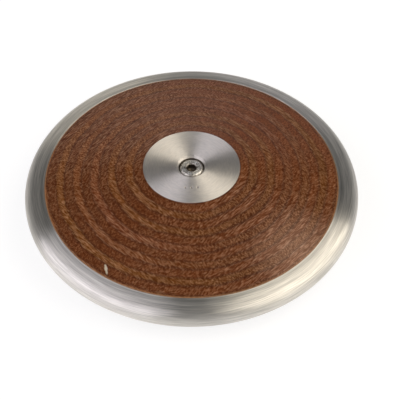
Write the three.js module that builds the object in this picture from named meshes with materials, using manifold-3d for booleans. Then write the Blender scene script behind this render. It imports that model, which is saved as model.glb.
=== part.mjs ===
// A throwing discus of the one kilogram class: a turned steel rim of T-shaped section, two laminated
// wooden sides that close over the rim's web, and a steel hub that clamps the sides at the centre.
// Lengths are in millimetres and +Z is up. The discus lies on its lower centre plate, and the origin
// is the middle of that plate's flat face.

import * as THREE from 'three';
import { mergeVertices } from 'three/addons/utils/BufferGeometryUtils.js';
import Module from 'manifold-3d';

const wasm = await Module();
wasm.setup();

// Outer form
const outsideDiameter = 181;
const centreThickness = 38;
const edgeRadius = 6.25; // the true circle that the rim's edge is turned to
const plateDiameter = 52; // the steel plate, which is also the flat middle of each side

// Rim
const rimWidth = 11.05; // from the outside edge inwards to the wood
const lipBevel = 0.6; // bevel on the lip where the steel meets the wood
const webDepth = 6; // how far the web reaches in between the sides
const webThickness = 3;
const webFillet = 0.8; // where the web runs into the rim's inner wall
const rimFit = 0.05; // gap between the rim's inner wall and the wood

// Wooden sides
const woodEdgeBreak = 0.25; // small bevel on the wood's outer corner
const boreFit = 0.5; // gap round the sleeve nut's barrel

// Centre plates
const flangeThickness = 2;
const flangeBevel = 0.3;
const flangeFit = 0.05; // gap between the flange and its recess in the wood
const mouthChamfer = 1; // round the mouth of the counterbore
const bossWall = 4; // wall of the boss round the counterbore
const bossFloor = 2.2; // steel under the screw head
const bossFit = 0.2; // gap round and under the boss

// Screw and sleeve nut
const headDiameter = 13.2;
const headHeight = 4;
const headChamferWidth = 1.3;
const headChamferDepth = 0.75;
const headRecess = 1; // how far the head lies below the plate's face
const headFit = 0.4; // gap round the head in its counterbore
const socketAcrossFlats = 5;
const socketDepth = 2.8;
const socketConeDepth = 0.9; // drill point below the socket
const shankDiameter = 8;
const shankChamfer = 0.8;
const shankFit = 0.2; // gap where a shank or barrel passes a plate
const threadFit = 0.1;
const threadEngagement = 14;
const threadRunOut = 4; // bore left below the end of the shank
const barrelWall = 0.9;
const barrelGap = 3.5; // from the barrel's end to the upper plate's boss

// Ballast washers
const ballastCount = 2; // on each side
const ballastThickness = 1;
const ballastWidth = 6.4; // from a washer's bore to its outer edge
const ballastFit = 0.3; // gap round a washer
const ballastPlay = 0.2; // free height above the stack

// Lock pins
const pinCount = 8;
const pinDiameter = 3;
const pinBite = 4.5; // depth in each wooden side
const pinChamfer = 0.3;
const pinFit = 0.05;
const pinEndGap = 0.3; // space left past each end of a pin

// Facets round each kind of piece
const bodyFacets = 72;
const plateFacets = 64;
const hubFacets = 32;
const pinFacets = 12;
const edgeFacets = 14;
const filletFacets = 3;

const cutOverrun = 1; // how far a cutting solid stands out of what it cuts

// Sizes that follow from the ones above. Heights are counted from the middle plane.
const outsideRadius = outsideDiameter / 2;
const halfThickness = centreThickness / 2;
const plateRadius = plateDiameter / 2;
const boundaryRadius = outsideRadius - rimWidth;
const webRadius = boundaryRadius - webDepth;
const webTop = webThickness / 2;

const edgeCentre = outsideRadius - edgeRadius;
const cheekRun = edgeCentre - plateRadius;
const cheekAngle = Math.atan2(halfThickness, cheekRun)
  - Math.asin(edgeRadius / Math.hypot(cheekRun, halfThickness));

const headRadius = headDiameter / 2;
const headTop = halfThickness - headRecess;
const headSeat = headTop - headHeight;
const counterboreRadius = headRadius + headFit;
const bossRadius = counterboreRadius + bossWall;
const bossEnd = headSeat - bossFloor;
const flangeSeat = halfThickness - flangeThickness;

const shankRadius = shankDiameter / 2;
const threadBoreRadius = shankRadius + threadFit;
const barrelRadius = threadBoreRadius + barrelWall;
const barrelEnd = bossEnd - barrelGap;

const ballastBoreRadius = bossRadius + ballastFit;
const ballastRadius = ballastBoreRadius + ballastWidth;
const ballastPocketRadius = ballastRadius + ballastFit;
const ballastPocketFloor = flangeSeat - ballastCount * ballastThickness - ballastPlay;

const pinRadius = pinDiameter / 2;
const pinCircleRadius = boundaryRadius - webDepth / 2;
const pinHalfLength = webTop + pinBite;

const materials = {
  rim: { color: 0xb9b6b1, roughness: 0.3, metalness: 1 },
  wood: { color: 0x6e4228, roughness: 0.5, metalness: 0 },
  plate: { color: 0xc4beb8, roughness: 0.28, metalness: 1 },
  screw: { color: 0xa39d95, roughness: 0.32, metalness: 1 },
  ballast: { color: 0x8c8e91, roughness: 0.45, metalness: 1 },
  pin: { color: 0x77797c, roughness: 0.4, metalness: 1 },
};

// The height of a side's straight taper. It runs from the plate's edge down to the edge circle, which
// it touches without a corner.
function cheekHeight(radius) {
  return halfThickness - (radius - plateRadius) * Math.tan(cheekAngle);
}

// Points along an arc in an outline, from one angle to another, with 0 pointing outwards.
function arc([radius, height], size, from, to, facets) {
  return Array.from({ length: facets + 1 }, (_, step) => {
    const angle = from + ((to - from) * step) / facets;
    return [radius + size * Math.cos(angle), height + size * Math.sin(angle)];
  });
}

// An outline drawn for the upper side, turned over for the lower one.
function onSide(outline, side) {
  return side > 0 ? outline : outline.map(([radius, height]) => [radius, -height]).reverse();
}

// A closed surface as a solid that can be joined and cut.
function toSolid(geometry) {
  const bare = geometry.clone();
  bare.deleteAttribute('normal');
  bare.deleteAttribute('uv');
  const merged = mergeVertices(bare);
  const corners = merged.index.array;
  const triangles = [];
  for (let start = 0; start < corners.length; start += 3) {
    const triangle = corners.slice(start, start + 3);
    if (new Set(triangle).size === 3) triangles.push(...triangle);
  }
  const vertProperties = Float32Array.from(merged.attributes.position.array);
  const triVerts = Uint32Array.from(triangles);
  return new wasm.Manifold(new wasm.Mesh({ numProp: 3, vertProperties, triVerts }));
}

function toGeometry(solid) {
  const { vertProperties, triVerts } = solid.getMesh();
  const geometry = new THREE.BufferGeometry();
  geometry.setAttribute('position', new THREE.BufferAttribute(vertProperties, 3));
  geometry.setIndex(new THREE.BufferAttribute(triVerts, 1));
  geometry.computeVertexNormals();
  return geometry;
}

// A turned piece. Its outline is a list of [radius, height], up the outside and down the inside.
function turned(outline, facets) {
  const points = [...outline, outline[0]].map(([radius, height]) => new THREE.Vector2(radius, height));
  return toSolid(new THREE.LatheGeometry(points, facets).rotateX(Math.PI / 2));
}

// An upright cylinder between two heights. Six facets make a hexagon.
function upright(radius, low, high, facets) {
  const cylinder = new THREE.CylinderGeometry(radius, radius, high - low, facets);
  return cylinder.rotateX(Math.PI / 2).translate(0, 0, (low + high) / 2);
}

// Places evenly spaced round the pin circle, with the first half a step from +X.
function pinPlaces() {
  return Array.from({ length: pinCount }, (_, step) => {
    const angle = (2 * Math.PI * (step + 1 / 2)) / pinCount;
    return [pinCircleRadius * Math.cos(angle), pinCircleRadius * Math.sin(angle)];
  });
}

function withPinHoles(solid, low, high) {
  return pinPlaces().reduce((drilled, [x, y]) => {
    const drill = upright(pinRadius + pinFit, low, high, pinFacets).translate(x, y, 0);
    return drilled.subtract(toSolid(drill));
  }, solid);
}

// The steel ring: rounded edge, two short tapered cheeks, and a web that the wood closes over.
function rim() {
  const lipRadius = boundaryRadius + lipBevel;
  const lipFoot = cheekHeight(boundaryRadius) - lipBevel;
  const edgeReach = Math.PI / 2 - cheekAngle;
  const filletCentre = [boundaryRadius - webFillet, webTop + webFillet];
  const upperFillet = arc(filletCentre, webFillet, 0, -Math.PI / 2, filletFacets);
  const lowerFillet = upperFillet.map(([radius, height]) => [radius, -height]).reverse();
  const outline = [
    [boundaryRadius, -lipFoot],
    [lipRadius, -cheekHeight(lipRadius)],
    ...arc([edgeCentre, 0], edgeRadius, -edgeReach, edgeReach, edgeFacets),
    [lipRadius, cheekHeight(lipRadius)],
    [boundaryRadius, lipFoot],
    ...upperFillet,
    [webRadius, webTop],
    [webRadius, -webTop],
    ...lowerFillet,
  ];
  const ring = turned(outline, bodyFacets);
  return withPinHoles(ring, -webTop - cutOverrun, webTop + cutOverrun);
}

// A wooden side: rebated for the web, tapered outside, and recessed for the plate, washers and boss.
function woodenSide(side) {
  const outerRadius = boundaryRadius - rimFit;
  const rebateRadius = webRadius - rimFit;
  const recessRadius = plateRadius + flangeFit;
  const bossPocketRadius = bossRadius + bossFit;
  const bossPocketFloor = bossEnd - bossFit;
  const boreRadius = barrelRadius + boreFit;
  const outline = [
    [boreRadius, 0],
    [rebateRadius, 0],
    [rebateRadius, webTop],
    [outerRadius - webFillet, webTop],
    [outerRadius, webTop + webFillet],
    [outerRadius, cheekHeight(outerRadius) - woodEdgeBreak],
    [outerRadius - woodEdgeBreak, cheekHeight(outerRadius - woodEdgeBreak)],
    [recessRadius, cheekHeight(recessRadius)],
    [recessRadius, flangeSeat],
    [ballastPocketRadius, flangeSeat],
    [ballastPocketRadius, ballastPocketFloor],
    [bossPocketRadius, ballastPocketFloor],
    [bossPocketRadius, bossPocketFloor],
    [boreRadius, bossPocketFloor],
  ];
  const blank = turned(onSide(outline, side), bodyFacets);
  const holeEnds = [side * (webTop - cutOverrun), side * (pinHalfLength + pinEndGap)];
  return withPinHoles(blank, Math.min(...holeEnds), Math.max(...holeEnds));
}

// A centre plate: a flange flush with the wood, and a boss that holds the counterbore for a head.
function centrePlate(side, passRadius) {
  const outline = [
    [passRadius, bossEnd],
    [bossRadius, bossEnd],
    [bossRadius, flangeSeat],
    [plateRadius, flangeSeat],
    [plateRadius, halfThickness - flangeBevel],
    [plateRadius - flangeBevel, halfThickness],
    [counterboreRadius + mouthChamfer, halfThickness],
    [counterboreRadius, halfThickness - mouthChamfer],
    [counterboreRadius, headSeat],
    [passRadius, headSeat],
  ];
  return turned(onSide(outline, side), plateFacets);
}

// The hexagon socket with its drill point, corners towards +X and -X.
function hexSocket(side) {
  const cornerRadius = socketAcrossFlats / 2 / Math.cos(Math.PI / 6);
  const floor = headTop - socketDepth;
  const ends = [side * floor, side * (headTop + cutOverrun)];
  const hexagon = upright(cornerRadius, Math.min(...ends), Math.max(...ends), 6).rotateZ(Math.PI / 2);
  const cone = [
    [0, floor - socketConeDepth],
    [socketAcrossFlats / 2, floor],
    [0, floor + socketDepth],
  ];
  return toSolid(hexagon).add(turned(onSide(cone, side), hubFacets));
}

// The head that the screw and the sleeve nut share, from its seat to its top.
function headOutline() {
  return [
    [headRadius, headSeat],
    [headRadius, headTop - headChamferDepth],
    [headRadius - headChamferWidth, headTop],
    [0, headTop],
  ];
}

function centreScrew() {
  const shankEnd = barrelEnd - threadEngagement;
  const outline = [
    [0, shankEnd],
    [shankRadius - shankChamfer, shankEnd],
    [shankRadius, shankEnd + shankChamfer],
    [shankRadius, headSeat],
    ...headOutline(),
  ];
  return turned(outline, hubFacets).subtract(hexSocket(1));
}

function sleeveNut() {
  const boreEnd = barrelEnd - threadEngagement - threadRunOut;
  const outline = [
    ...onSide(headOutline(), -1),
    [barrelRadius, -headSeat],
    [barrelRadius, barrelEnd],
    [threadBoreRadius, barrelEnd],
    [threadBoreRadius, boreEnd],
    [0, boreEnd],
  ];
  return turned(outline, hubFacets).subtract(hexSocket(-1));
}

function ballastWasher() {
  const outline = [
    [ballastBoreRadius, 0],
    [ballastRadius, 0],
    [ballastRadius, ballastThickness],
    [ballastBoreRadius, ballastThickness],
  ];
  return turned(outline, hubFacets);
}

function lockPin() {
  const outline = [
    [0, -pinHalfLength],
    [pinRadius - pinChamfer, -pinHalfLength],
    [pinRadius, -pinHalfLength + pinChamfer],
    [pinRadius, pinHalfLength - pinChamfer],
    [pinRadius - pinChamfer, pinHalfLength],
    [0, pinHalfLength],
  ];
  return turned(outline, pinFacets);
}

function piece(name, solid, finish) {
  const mesh = new THREE.Mesh(toGeometry(solid), new THREE.MeshStandardMaterial(materials[finish]));
  mesh.name = name;
  return mesh;
}

const discus = new THREE.Group();
discus.position.z = halfThickness;

discus.add(piece('rim', rim(), 'rim'));
discus.add(piece('upper_side', woodenSide(1), 'wood'));
discus.add(piece('lower_side', woodenSide(-1), 'wood'));
discus.add(piece('upper_centre_plate', centrePlate(1, shankRadius + shankFit), 'plate'));
discus.add(piece('lower_centre_plate', centrePlate(-1, barrelRadius + shankFit), 'plate'));
discus.add(piece('centre_screw', centreScrew(), 'screw'));
discus.add(piece('sleeve_nut', sleeveNut(), 'screw'));

// The upper washers lie on the wood and the lower ones on the plate's flange.
for (let step = 0; step < ballastCount; step += 1) {
  const upper = piece(`upper_ballast_washer_${step + 1}`, ballastWasher(), 'ballast');
  upper.position.z = ballastPocketFloor + step * ballastThickness;
  const lower = piece(`lower_ballast_washer_${step + 1}`, ballastWasher(), 'ballast');
  lower.position.z = -flangeSeat + step * ballastThickness;
  discus.add(upper, lower);
}

pinPlaces().forEach(([x, y], step) => {
  const pin = piece(`lock_pin_${step + 1}`, lockPin(), 'pin');
  pin.position.set(x, y, 0);
  discus.add(pin);
});

export default discus;
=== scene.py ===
"""A throwing discus: turned steel rim, laminated wooden sides and a steel hub, at real size in metres."""

import math
from collections import namedtuple
from functools import partial
from types import SimpleNamespace

import bmesh
import bpy
from bpy.props import FloatProperty, FloatVectorProperty, IntProperty, PointerProperty
from mathutils import Matrix, Vector
from mathutils.geometry import intersect_point_line


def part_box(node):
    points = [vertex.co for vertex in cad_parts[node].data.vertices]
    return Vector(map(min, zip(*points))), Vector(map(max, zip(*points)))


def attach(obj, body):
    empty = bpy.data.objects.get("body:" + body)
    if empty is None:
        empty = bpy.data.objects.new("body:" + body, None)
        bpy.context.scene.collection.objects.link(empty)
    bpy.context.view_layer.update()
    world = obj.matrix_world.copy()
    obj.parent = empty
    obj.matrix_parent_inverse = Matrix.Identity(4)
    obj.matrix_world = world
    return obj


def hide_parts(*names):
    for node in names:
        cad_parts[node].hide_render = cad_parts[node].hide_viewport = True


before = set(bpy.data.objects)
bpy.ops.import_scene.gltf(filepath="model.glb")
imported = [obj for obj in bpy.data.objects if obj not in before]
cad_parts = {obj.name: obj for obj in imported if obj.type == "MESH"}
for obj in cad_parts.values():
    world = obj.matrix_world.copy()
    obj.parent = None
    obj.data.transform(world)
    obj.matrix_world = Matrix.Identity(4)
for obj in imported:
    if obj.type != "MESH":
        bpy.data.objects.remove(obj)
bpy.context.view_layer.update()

bl_info = {
    "name": "Throwing Discus",
    "version": (1, 0, 0),
    "blender": (4, 5, 0),
    "location": "3D View > Sidebar > Discus",
    "description": "Turns the rim, wooden sides and hub of a throwing discus around its packed model",
    "category": "Add Mesh",
}

MM = 0.001
SIDES = {"upper": 1, "lower": -1}
WHITE = (1, 1, 1)

# How finely round shapes are divided, and the sharpest corner that still looks smooth.
QUARTER_STEPS = 90
HUB_QUARTER_STEPS = 48
PIN_QUARTER_STEPS = 8
EDGE_SEGMENTS = 56
ROUNDING_SEGMENTS = 5
THREAD_ROWS = 10
SHARP_ANGLE = math.radians(24)

# Points this close are one, and a long stretch of an outline gets a point this far from its ends.
MERGE_DISTANCE = 0.0005 * MM
HOLD = 0.3 * MM

# Cuts to either side of a mark, how far they spread past it, and how far up a face must look to be cut.
CUT_STEPS = 6
CUT_SPREAD = 1.2
UPWARD = 0.9

# Fits between the pieces, which are too small to be worth a control.
RIM_GAP = 0.05 * MM
HOUSING_GAP = 0.2 * MM
BORE_GAP = 0.5 * MM
WASHER_GAP = 0.3 * MM
THREAD_GAP = 0.1 * MM
PIN_END_GAP = 0.3 * MM
BROKEN_EDGE = 0.12 * MM

# Half the crest and half the root of a metric thread, as shares of its pitch.
HALF_CREST = 1 / 16
HALF_ROOT = 1 / 8

# The chip's body, its widening towards one end and its torn ripple, as shares of its half width, and the
# ripple's turn over half the length.
CHIP_BODY = 0.75
CHIP_FLARE = 0.4
CHIP_RIPPLE = 0.15
RIPPLE_TURN = 9

# How dark the hub's steel is drawn: black oxide in the socket and round its mouth, and painted shade in
# the counterbore, on the head's side and in the punch marks.
RECESS_OXIDE_AND_SHADE = 1.0
HEAD_SIDE_PAINTED_SHADE = 0.85
PUNCH_PAINTED_SHADE = 0.8
SOCKET_MOUTH_BLACK = 0.3

# Nearly all values of a noise lie between these.
NOISE_RANGE = (0.3, 0.7)

# Lathe marks: how often a fine one changes in its turn, how broad and faint ones lie under it, how the
# polish varies with those, and how deep the marks are. A highlight stretches a quarter turn from them.
FINE_SWEEP = 6
BROAD_SWEEP = 2.5
BROAD_PITCHES = 5
BROAD_CONTRAST = 1 / 4
POLISH_SPREAD = 0.15
MARK_DEPTH = 0.01 * MM
STEEL_BUMP = 0.25
STRETCH_TURN = 0.25

# Steels: roughness, spacing of the marks, their contrast, and how far they stretch a highlight. A real feed
# is 0.1 to 0.2 mm a turn. A pixel of the render is 0.5 mm, so the marks are drawn coarser.
Steel = namedtuple("Steel", "name roughness pitch contrast anisotropy")
STEELS = {
    # Turned and then brushed round: it draws each lamp out into a long streak with clear marks.
    "rim": Steel("turned_rim_steel", 0.35, 0.4 * MM, 0.27, 1),
    # Faced on the lathe: fine even rings, which fan the lamps out into soft bow ties.
    "plate": Steel("faced_plate_steel", 0.6, 0.4 * MM, 0.08, 0.93),
    # Machined quickly and then handled: patchy and strongly marked, with a dull shine.
    "screw": Steel("machined_screw_steel", 0.42, 0.7 * MM, 0.9, 0.7),
    # Cut from rolled sheet: plain grey, with hardly any marks.
    "washer": Steel("rolled_washer_steel", 0.42, 0.6 * MM, 0.1, 0.3),
    # Ground bar: smooth and even, with the sharpest shine.
    "pin": Steel("ground_pin_steel", 0.3, 0.5 * MM, 0.05, 0.3),
}

# Tones of the rim: where one starts to change, over what width, and the tone inside and outside. The lip has
# a painted highlight and the cheek a band of painted shade next to the wood; the steel is drawn darker over
# the shoulder and edge. The first two are measured from the wood, and the others from where the edge starts.
LIP_HIGHLIGHT = (0.6 * MM, 0.4 * MM, 1.35, 1)
CHEEK_SHADE = (2 * MM, 1.6 * MM, 0.72, 1)
SHOULDER_TONE = (1 * MM, 1.8 * MM, 1, 0.92)
EDGE_TONE = (3.4 * MM, 1 * MM, 1, 0.89)

# Pressed veneers wave slowly up and down, and the tool tears their edges ragged along the fibres.
WAVE_LENGTH = 22 * MM
WAVE_HEIGHT = 0.16 * MM
TORN_SIZE = (4 * MM, 0.7 * MM, 0.7 * MM)
TORN_HEIGHT = 0.1 * MM

# A bundle of fibres is 0.1 to 0.2 mm wide. It is drawn 0.36 mm wide, because a finer one doesn't show in the
# render, and so are the specks of cut ends and the wood's lathe marks.
FIBRE_SIZE = (1.8 * MM, 0.36 * MM, 0.4 * MM)
SPECK_SIZE = 0.5 * MM
WOOD_PITCH = 0.5 * MM
WOOD_SWEEP = 1.5
WOOD_BUMP = 0.2

# Clear lacquer, whose gleam the lathe marks stretch out.
LACQUER_IOR = 1.45
LACQUER_ANISOTROPY = 0.9

# Patterns in the wood: how much denser than the fibres each is along, across and under them, and its detail.
WOOD_PATTERNS = {
    "fibres": ((1, 1, 1), 1),
    "streaks": ((0.42, 1.1, 1), 2),
    "pores": ((1.6, 0.8, 0.8), 1),
    "bands": ((0.2, 0.11, 0.12), 2),
}

# Fibres slant one way in the ochre veneers and the other way in the brown ones. From one pair of veneers to
# the next, the patterns move and the colour swings between golden and rosy.
OCHRE_TURN = (0, 0, -math.pi / 4)
BROWN_TURN = (0, 0, math.pi / 4)
NEXT_PAIR = (7.3, 3.1, 5.7)
COLOUR_SWING = 1.8

# The side towards which the ochre veneers get a painted fibre sheen and the brown ones painted shade, and
# the way in which the ochre veneers are stained darker.
SHEEN_SIDE = (math.cos(math.radians(161)), math.sin(math.radians(161)), 0)
STAINED_SIDE = (math.cos(math.radians(285)), math.sin(math.radians(285)), 0)

# Ranges of the wood's look: what is measured runs between the first two values, and the look between the
# other two. Directions are measured from -1, straight away, to 1, straight towards.
# Painted sheen on the ochre veneers towards one side.
OCHRE_SIDE_SHEEN = (-1, 1, 0.93, 1.15)
OCHRE_STAIN = (0.73, 0.95, 1, 0.91)
# Painted shade on the brown veneers towards that side.
BROWN_SIDE_SHADE = (-1, 1, 1.13, 0.86)
# Painted light on the brown veneers at the back.
BROWN_BACK_LIGHT = (0.2, 0.85, 0, 0.14)
BAND_TONE = (*NOISE_RANGE, 0.86, 1.14)
FIBRE_TONE = (0.4, 0.6, 0.6, 1.36)
DRAWN_OUT = (0.5, 0.9, 0, 0.7)
SPECK_SHARE = (0, 1, 0.35, 0)
STANDING = (0.47, 0.64, 0, 1)
BROWN_STANDING = (0, 1, 0.5, 0.85)
# Painted sheen of the pale fibres and streaks: full at the front, less at the back, least at the back right.
FIBRE_SIDE_SHEEN = (0.2, 0.9, 0.24, 0.42)
FIBRE_FRONT_SHEEN = (-0.1, 0.7, 0.42)
STREAK_SHARE = (0.55, 0.69, 0, 0.5)
PORE_SHARE = (0.56, 0.7, 0, 0.3)
JOINT_SHARE = (0.02, 0.12, 0.5, 0)
END_WIDTH = (0, 0.13)
# Painted shade on the ends of the glue lines: darkest at the front and towards the front right.
END_FRONT_SHADE = (-0.5, 0.3, 0.55, 0.15)
END_SIDE_SHADE = (-0.6, 0.2, 1.4, 1)
UNCROSSED = (0, 1, 1.2, 0.45)
# A painted highlight of the warm lamp on the fibres at the front right.
SHEEN_PATCH_SHARE = (6 * MM, 32 * MM, 0.62, 0)
UNVEILED = (0, 1, 0.4, 1)
# Painted sheen on the back of the wood, as the lacquer's reflection of the pale room.
BACK_SHEEN_SHARE = (0, 1, 0, 0.038)
ROUGHNESS = (0, 1, 0.38, 0.85)
GLOSS = (0, 1, 0.04, 0.55)

# Where the outer corner of the wood starts and ends to turn pale, and by how much. The painted highlight of
# the warm lamp lies at a share of the wood's radius.
CORNER_DEPTHS = (0.8 * MM, 0.2 * MM)
CORNER_PALE = 0.42
SHEEN_PATCH_RADIUS = 0.95

# Softboxes: brightness, and in degrees where each hangs, how far it spreads to either side, and its turn.
Softbox = namedtuple("Softbox", "radiance azimuth elevation half_width half_height roll")
WARM_SOFTBOX = Softbox(radiance=1.9, azimuth=-9, elevation=47, half_width=32, half_height=28, roll=-10)
COOL_SOFTBOX = Softbox(radiance=1.58, azimuth=206, elevation=35, half_width=36, half_height=28, roll=10)
LAMP_DISTANCE = 1.6

# The floor, and ranges of the room's light: towards the back overhead and low down, and then upwards.
FLOOR_HALF = 3
FLOOR_GLOW = 0.78
OVERHEAD_LIGHT = (-0.6, 0.6, 1.3, 0.6)
LOW_LIGHT = (0.45, 0.95, 0.45, 0.85)
OVERHEAD_STARTS = (0.1, 0.42)


def highest(node):
    """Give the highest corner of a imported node."""
    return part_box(node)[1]


def top_of(sizes, node):
    """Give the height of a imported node's top above the middle plane."""
    return highest(node).z - sizes.half_thickness


def foot_of(sizes, node):
    """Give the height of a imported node's foot above the middle plane."""
    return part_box(node)[0].z - sizes.half_thickness


def linear(code):
    """Turn an sRGB hex code into the linear colour that Blender's sockets hold."""
    shares = [int(code[start:start + 2], 16) / 255 for start in (0, 2, 4)]
    return [share / 12.92 if share <= 0.04045 else ((share + 0.055) / 1.055) ** 2.4 for share in shares]


def length(name, description, default):
    """Describe one length in metres."""
    return FloatProperty(name=name, description=description, default=default, unit="LENGTH", precision=5)


def angle(name, description, degrees):
    """Describe one angle."""
    return FloatProperty(name=name, description=description, default=math.radians(degrees), subtype="ANGLE")


def colour(name, description, code):
    """Describe one colour."""
    return FloatVectorProperty(name=name, description=description, default=linear(code), size=3,
                               min=0, max=1, subtype="COLOR")


class DiscusSizes(bpy.types.PropertyGroup):
    """Sizes of the turned pieces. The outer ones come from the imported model."""

    outside_radius: length("Outside Radius", "Radius of the rim's outer edge", highest("rim").x)
    half_thickness: length("Half Thickness", "Middle plane to a plate", highest("upper_centre_plate").z / 2)
    edge_radius: length("Edge Radius", "Radius that the rim's edge is turned to", 6.25 * MM)
    lip_round: length("Lip Rounding", "Rounding of the rim where it meets the wood", 0.2 * MM)
    web_depth: length("Web Depth", "Reach of the web between the wooden sides", 6 * MM)
    web_thickness: length("Web Thickness", "Thickness of the rim's web", 3 * MM)
    web_fillet: length("Web Fillet", "Fillet where the web meets the rim", 0.8 * MM)
    wood_radius: length("Wood Radius", "Outside radius of the wooden sides", highest("upper_side").x)
    plate_radius: length("Plate Radius", "Radius of the centre plates", highest("upper_centre_plate").x)
    plate_bevel: length("Plate Bevel", "Rounding of a centre plate's outer edge", 0.25 * MM)
    flange_thickness: length("Flange Thickness", "Thickness of a centre plate's flange", 2 * MM)
    boss_radius: length("Boss Radius", "Radius of the boss under a centre plate", 11 * MM)
    counterbore_radius: length("Counterbore Radius", "Radius of the counterbore for a head", 7 * MM)
    mouth_chamfer: length("Mouth Chamfer", "Chamfer round the mouth of the counterbore", 1 * MM)
    head_radius: length("Head Radius", "Radius of the screw and sleeve heads", highest("centre_screw").x)
    head_height: length("Head Height", "Height of the screw and sleeve heads", 4 * MM)
    chamfer_width: length("Head Chamfer Width", "Width of the chamfer round a head", 1.3 * MM)
    chamfer_depth: length("Head Chamfer Depth", "Depth of the chamfer round a head", 0.75 * MM)
    socket_width: length("Socket Width", "Across the flats of the hexagon socket", 5 * MM)
    socket_depth: length("Socket Depth", "Depth of the hexagon socket", 2.8 * MM)
    shank_radius: length("Shank Radius", "Radius over the screw's thread", 4 * MM)
    thread_pitch: length("Thread Pitch", "Rise of the thread in one turn", 1.25 * MM)
    thread_depth: length("Thread Depth", "Depth of the thread", 0.67 * MM)
    barrel_radius: length("Barrel Radius", "Outside radius of the sleeve nut's barrel", 5 * MM)
    washer_radius: length("Washer Radius", "Outside radius of a washer", highest("upper_ballast_washer_1").x)
    mark_count: IntProperty(name="Punch Marks", description="Marks on the upper plate", default=3, min=1)
    mark_spacing: length("Mark Spacing", "Between the middles of two punch marks", 3.2 * MM)
    mark_distance: length("Mark Distance", "From the axis to the row of punch marks", 15.2 * MM)
    mark_radius: length("Mark Radius", "Radius of a punch mark", 0.7 * MM)
    mark_depth: length("Mark Depth", "Depth of a punch mark", 0.3 * MM)
    chip_place: FloatVectorProperty(name="Chip Place", description="Middle of the chip in the wood", size=2,
                                    default=(-43.95 * MM, -61.55 * MM), subtype="TRANSLATION")
    chip_direction: angle("Chip Direction", "Direction of the chip's length", 101)
    chip_length: length("Chip Length", "Length of the chip", 6.8 * MM)
    chip_width: length("Chip Width", "Width of the chip", 1.9 * MM)
    chip_depth: length("Chip Depth", "Depth of the chip", 0.6 * MM)
    pin_radius: length("Pin Radius", "Radius of a lock pin", 1.5 * MM)
    pin_count: IntProperty(name="Lock Pins", description="Pins through the rim's web", default=8, min=1)


class DiscusFinish(bpy.types.PropertyGroup):
    """Colours of the metals and woods, and the thickness of the veneers."""

    rim: colour("Rim Steel", "Turned and brushed steel of the rim", "e8e3db")
    plate: colour("Plate Steel", "Faced steel of the centre plates", "f0eae3")
    screw: colour("Screw Steel", "Machined steel of the screw and sleeve nut", "e4ded5")
    washer: colour("Washer Steel", "Rolled steel of the ballast washers", "8c8e91")
    pin: colour("Pin Steel", "Ground steel of the lock pins", "8d8f92")
    # Black oxide in the socket, and painted shade in the hub's hollows and on the head's side.
    blackened: colour("Oxide and Painted Shade", "Dust and black oxide on the steel of the hub", "5c5347")
    ochre_light: colour("Ochre Veneer, Along", "Ochre veneer with its fibres in the surface", "683a12")
    rosy_light: colour("Rosy Veneer, Along", "As the ochre veneer, where a veneer leans to red", "68351c")
    ochre_dark: colour("Ochre Veneer, Across", "Ochre veneer with its fibres cut across", "653518")
    brown_light: colour("Brown Veneer, Along", "Brown veneer with its fibres in the surface", "633318")
    brown_dark: colour("Brown Veneer, Across", "Brown veneer with its fibres cut across", "5c2b0e")
    fibre: colour("Light Fibres", "Pale fibres that stand out of a veneer", "b58f69")
    glue: colour("Glue Line", "Dark glue and open pores", "3a1c10")
    # A painted highlight of the warm lamp on the wood, and the direction in which it lies.
    painted_sheen_patch: colour("Painted Sheen Patch", "Dull finish where hands have worn it", "c29c82")
    sheen_patch_direction: angle("Sheen Patch Direction", "Direction of the worn place from the middle", -42)
    # A painted sheen on the far side of the wood.
    painted_back_sheen: colour("Dust", "Film of pale dust on the far side", "e3dcd8")
    bare_wood: colour("Bare Wood", "Pale wood where the finish has chipped away", "cabfa9")
    ochre_thickness: length("Ochre Veneer Thickness", "Thickness of an ochre veneer", 0.94 * MM)
    brown_thickness: length("Brown Veneer Thickness", "Thickness of a brown veneer", 1.09 * MM)
    first_glue_line: length("First Glue Line", "Middle plane to the lower face of an ochre veneer", 8.78 * MM)


class DiscusStudio(bpy.types.PropertyGroup):
    """Camera, lamps and floor."""

    elevation: angle("Camera Elevation", "Angle of the view above the floor", 48.403)
    distance: length("Camera Distance", "From the middle of the discus to the camera", 0.7603)
    focal_length: FloatProperty(name="Focal Length", description="In millimetres", default=125.56)
    pan: angle("Camera Pan", "Turn of the view about the camera's own upright", -0.3403)
    tilt: angle("Camera Tilt", "Turn of the view about the camera's own right", -0.4206)
    roll: angle("Camera Roll", "Turn of the view about its own direction", 0.323)
    warm_lamp: colour("Warm Lamp", "Colour of the lamp on the right", "fff8ea")
    cool_lamp: colour("Cool Lamp", "Colour of the lamp on the left", "f6f4ff")
    room: FloatProperty(name="Room Light", description="Strength of the room's light", default=0.21, min=0)
    floor: colour("Floor", "Pale card of the floor, as it lights the discus", "e7e7e7")
    floor_seen: colour("Floor Seen", "Share of the floor's light that keeps the shadow for the eye", "959595")


def cheek_angle(sizes):
    """Work out the slope of the sides, a straight line that touches the rounded edge without a corner."""
    run = sizes.outside_radius - sizes.edge_radius - sizes.plate_radius
    reach = math.hypot(run, sizes.half_thickness)
    return math.atan2(sizes.half_thickness, run) - math.asin(sizes.edge_radius / reach)


def cheek_height(sizes, radius):
    """Give the height of the sloping side above the middle plane at a radius."""
    return sizes.half_thickness - (radius - sizes.plate_radius) * math.tan(cheek_angle(sizes))


def arc(radius, height, size, start, end, segments):
    """List the points of an arc in an outline, with angle 0 pointing outwards."""
    angles = [start + (end - start) * step / segments for step in range(segments + 1)]
    return [(radius + size * math.cos(a), height + size * math.sin(a), 0) for a in angles]


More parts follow.
